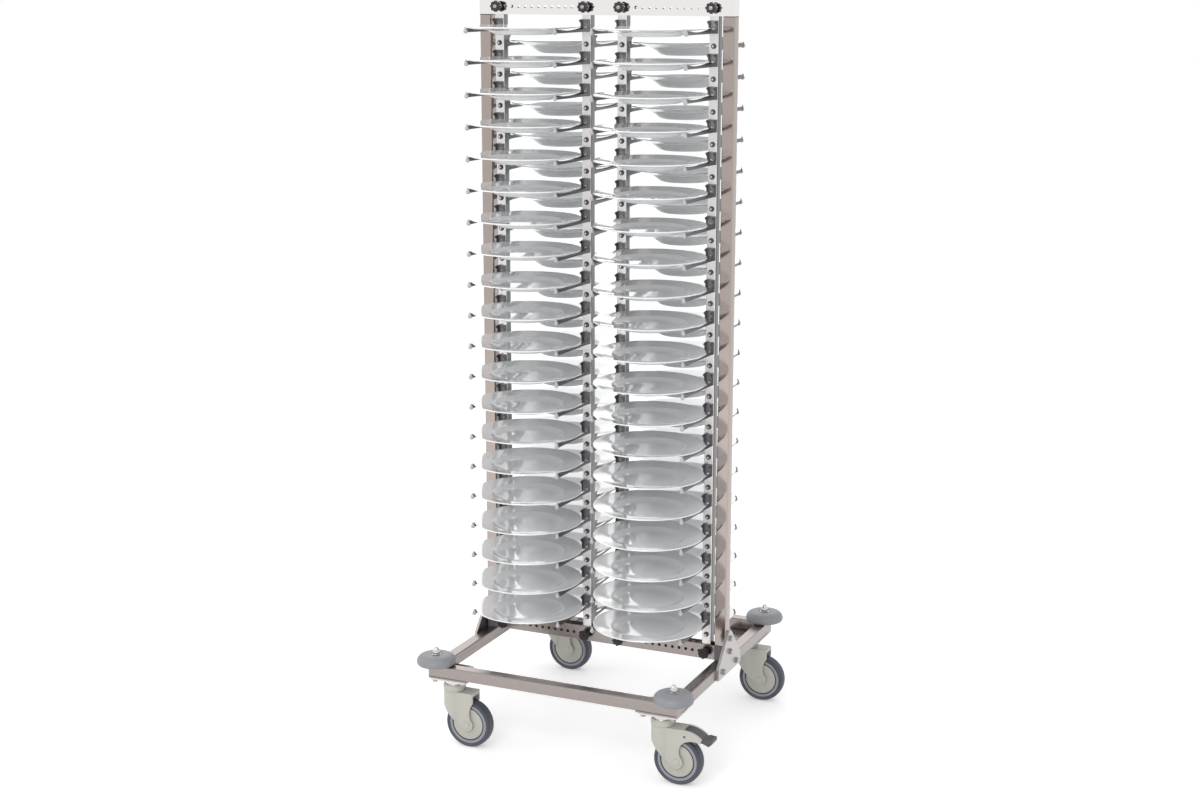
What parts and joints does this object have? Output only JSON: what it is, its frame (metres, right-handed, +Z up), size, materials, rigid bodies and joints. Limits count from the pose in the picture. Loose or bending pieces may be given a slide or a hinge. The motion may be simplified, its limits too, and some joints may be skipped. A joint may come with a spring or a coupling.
{
  "type": "plate dispenser cart",
  "caption": "Tall steel trolley on four swivel castors: posts with capped bracket arms hold flat white dinner plates on the front face of a central frame and deep ones on the back.",
  "frame": {"origin": "on the floor, under the middle of the whole object's bounding box", "axes": "+Z up; +X along the rack, towards the side its castors trail to in the picture; -Y is the loading side that faces the viewer"},
  "size_m": [0.8026, 0.762, 1.883],
  "materials": {
    "stainless": "brushed, warm grey, lengthwise grain",
    "stainless_post": "brushed, cooler grey",
    "bracket_steel": "satin dark grey",
    "block_plastic": "matte dark purple-grey",
    "black_plastic": "matte black, fine grain",
    "bumper_plastic": "satin mid grey",
    "cap_plastic": "satin light grey",
    "fastener": "bright plated steel",
    "fork_plastic": "satin warm light grey",
    "hub_plastic": "satin beige",
    "tyre_rubber": "matte blue-grey",
    "pedal_plastic": "matte dark grey",
    "porcelain": "glossy white glaze"
  },
  "bodies": {
    "frame": {"base_front_tube": "stainless", "base_back_tube": "stainless", "base_left_rail": "stainless", "base_right_rail": "stainless", "corner_plates": "stainless", "bottom_crossbar": "stainless", "top_crossbar": "stainless", "crossbar_end_blocks": "block_plastic", "upright_left": "stainless", "upright_right": "stainless", "upright_inserts": "black_plastic", "gusset_plates": "stainless", "frame_bolts": "fastener", "corner_bumpers": "bumper_plastic", "bumper_fasteners": "fastener", "post_left_outer": "stainless_post", "post_left_inner": "stainless_post", "post_right_inner": "stainless_post", "post_right_outer": "stainless_post", "clamp_nuts": "fastener", "brackets_front": "bracket_steel", "brackets_back": "bracket_steel", "arm_caps": "cap_plastic", "bracket_screws": "fastener", "bracket_nuts": "fastener", "castor_mounts": "fastener", "plates_front_left": "porcelain", "plates_front_right": "porcelain", "plates_back_left": "porcelain", "plates_back_right": "porcelain"},
    "castor_front_left": {"fork_front_left": "fork_plastic", "axle_front_left": "fastener"},
    "wheel_front_left": {"wheel_hub_front_left": "hub_plastic", "tyre_front_left": "tyre_rubber"},
    "castor_front_right": {"fork_front_right": "fork_plastic", "axle_front_right": "fastener"},
    "wheel_front_right": {"wheel_hub_front_right": "hub_plastic", "tyre_front_right": "tyre_rubber"},
    "pedal_front_right": {"brake_pedal_front_right": "pedal_plastic"},
    "castor_back_left": {"fork_back_left": "fork_plastic", "axle_back_left": "fastener"},
    "wheel_back_left": {"wheel_hub_back_left": "hub_plastic", "tyre_back_left": "tyre_rubber"},
    "pedal_back_left": {"brake_pedal_back_left": "pedal_plastic"},
    "castor_back_right": {"fork_back_right": "fork_plastic", "axle_back_right": "fastener"},
    "wheel_back_right": {"wheel_hub_back_right": "hub_plastic", "tyre_back_right": "tyre_rubber"},
    "knob_top_left_outer_turning": {"knob_top_left_outer": "black_plastic"},
    "knob_bottom_left_outer_turning": {"knob_bottom_left_outer": "black_plastic"},
    "knob_top_left_inner_turning": {"knob_top_left_inner": "black_plastic"},
    "knob_bottom_left_inner_turning": {"knob_bottom_left_inner": "black_plastic"},
    "knob_top_right_inner_turning": {"knob_top_right_inner": "black_plastic"},
    "knob_bottom_right_inner_turning": {"knob_bottom_right_inner": "black_plastic"},
    "knob_top_right_outer_turning": {"knob_top_right_outer": "black_plastic"},
    "knob_bottom_right_outer_turning": {"knob_bottom_right_outer": "black_plastic"},
    "loose_plate_front_left": {"top_plate_front_left": "porcelain"},
    "loose_plate_front_right": {"top_plate_front_right": "porcelain"},
    "loose_plate_back_left": {"top_plate_back_left": "porcelain"},
    "loose_plate_back_right": {"top_plate_back_right": "porcelain"}
  },
  "joints": [
    {"name": "swivel_front_left", "type": "hinge", "parent": "frame", "child": "castor_front_left", "pos_m": [-0.31275, -0.306, 0.148], "axis": [0, 0, 1], "continuous": true},
    {"name": "roll_front_left", "type": "hinge", "parent": "castor_front_left", "child": "wheel_front_left", "pos_m": [-0.26875, -0.306, 0.0625], "axis": [0, 1, 0], "continuous": true},
    {"name": "swivel_front_right", "type": "hinge", "parent": "frame", "child": "castor_front_right", "pos_m": [0.26525, -0.306, 0.148], "axis": [0, 0, 1], "continuous": true},
    {"name": "roll_front_right", "type": "hinge", "parent": "castor_front_right", "child": "wheel_front_right", "pos_m": [0.30925, -0.306, 0.0625], "axis": [0, 1, 0], "continuous": true},
    {"name": "brake_front_right", "type": "hinge", "parent": "castor_front_right", "child": "pedal_front_right", "pos_m": [0.33085, -0.306, 0.1317], "axis": [0, 1, 0], "range_deg": [0, 10]},
    {"name": "swivel_back_left", "type": "hinge", "parent": "frame", "child": "castor_back_left", "pos_m": [-0.31275, 0.306, 0.148], "axis": [0, 0, 1], "continuous": true},
    {"name": "roll_back_left", "type": "hinge", "parent": "castor_back_left", "child": "wheel_back_left", "pos_m": [-0.26875, 0.306, 0.0625], "axis": [0, 1, 0], "continuous": true},
    {"name": "brake_back_left", "type": "hinge", "parent": "castor_back_left", "child": "pedal_back_left", "pos_m": [-0.24715, 0.306, 0.1317], "axis": [0, 1, 0], "range_deg": [0, 10]},
    {"name": "swivel_back_right", "type": "hinge", "parent": "frame", "child": "castor_back_right", "pos_m": [0.26525, 0.306, 0.148], "axis": [0, 0, 1], "continuous": true},
    {"name": "roll_back_right", "type": "hinge", "parent": "castor_back_right", "child": "wheel_back_right", "pos_m": [0.30925, 0.306, 0.0625], "axis": [0, 1, 0], "continuous": true},
    {"name": "turn_knob_top_left_outer", "type": "hinge", "parent": "frame", "child": "knob_top_left_outer_turning", "pos_m": [-0.3125, 0, 1.86325], "axis": [0, 1, 0], "range_deg": [0, 720]},
    {"name": "turn_knob_bottom_left_outer", "type": "hinge", "parent": "frame", "child": "knob_bottom_left_outer_turning", "pos_m": [-0.3125, 0, 0.23675], "axis": [0, 1, 0], "range_deg": [0, 720]},
    {"name": "turn_knob_top_left_inner", "type": "hinge", "parent": "frame", "child": "knob_top_left_inner_turning", "pos_m": [-0.072, 0, 1.86325], "axis": [0, 1, 0], "range_deg": [0, 720]},
    {"name": "turn_knob_bottom_left_inner", "type": "hinge", "parent": "frame", "child": "knob_bottom_left_inner_turning", "pos_m": [-0.072, 0, 0.23675], "axis": [0, 1, 0], "range_deg": [0, 720]},
    {"name": "turn_knob_top_right_inner", "type": "hinge", "parent": "frame", "child": "knob_top_right_inner_turning", "pos_m": [0.0245, 0, 1.86325], "axis": [0, 1, 0], "range_deg": [0, 720]},
    {"name": "turn_knob_bottom_right_inner", "type": "hinge", "parent": "frame", "child": "knob_bottom_right_inner_turning", "pos_m": [0.0245, 0, 0.23675], "axis": [0, 1, 0], "range_deg": [0, 720]},
    {"name": "turn_knob_top_right_outer", "type": "hinge", "parent": "frame", "child": "knob_top_right_outer_turning", "pos_m": [0.265, 0, 1.86325], "axis": [0, 1, 0], "range_deg": [0, 720]},
    {"name": "turn_knob_bottom_right_outer", "type": "hinge", "parent": "frame", "child": "knob_bottom_right_outer_turning", "pos_m": [0.265, 0, 0.23675], "axis": [0, 1, 0], "range_deg": [0, 720]},
    {"name": "lift_out_front_left", "type": "slide", "parent": "frame", "child": "loose_plate_front_left", "axis": [0, -0.866, 0.5], "range_m": [0, 0.22]},
    {"name": "lift_out_front_right", "type": "slide", "parent": "frame", "child": "loose_plate_front_right", "axis": [0, -0.866, 0.5], "range_m": [0, 0.22]},
    {"name": "lift_out_back_left", "type": "slide", "parent": "frame", "child": "loose_plate_back_left", "axis": [0, 0.866, 0.5], "range_m": [0, 0.22]},
    {"name": "lift_out_back_right", "type": "slide", "parent": "frame", "child": "loose_plate_back_right", "axis": [0, 0.866, 0.5], "range_m": [0, 0.22]}
  ]
}
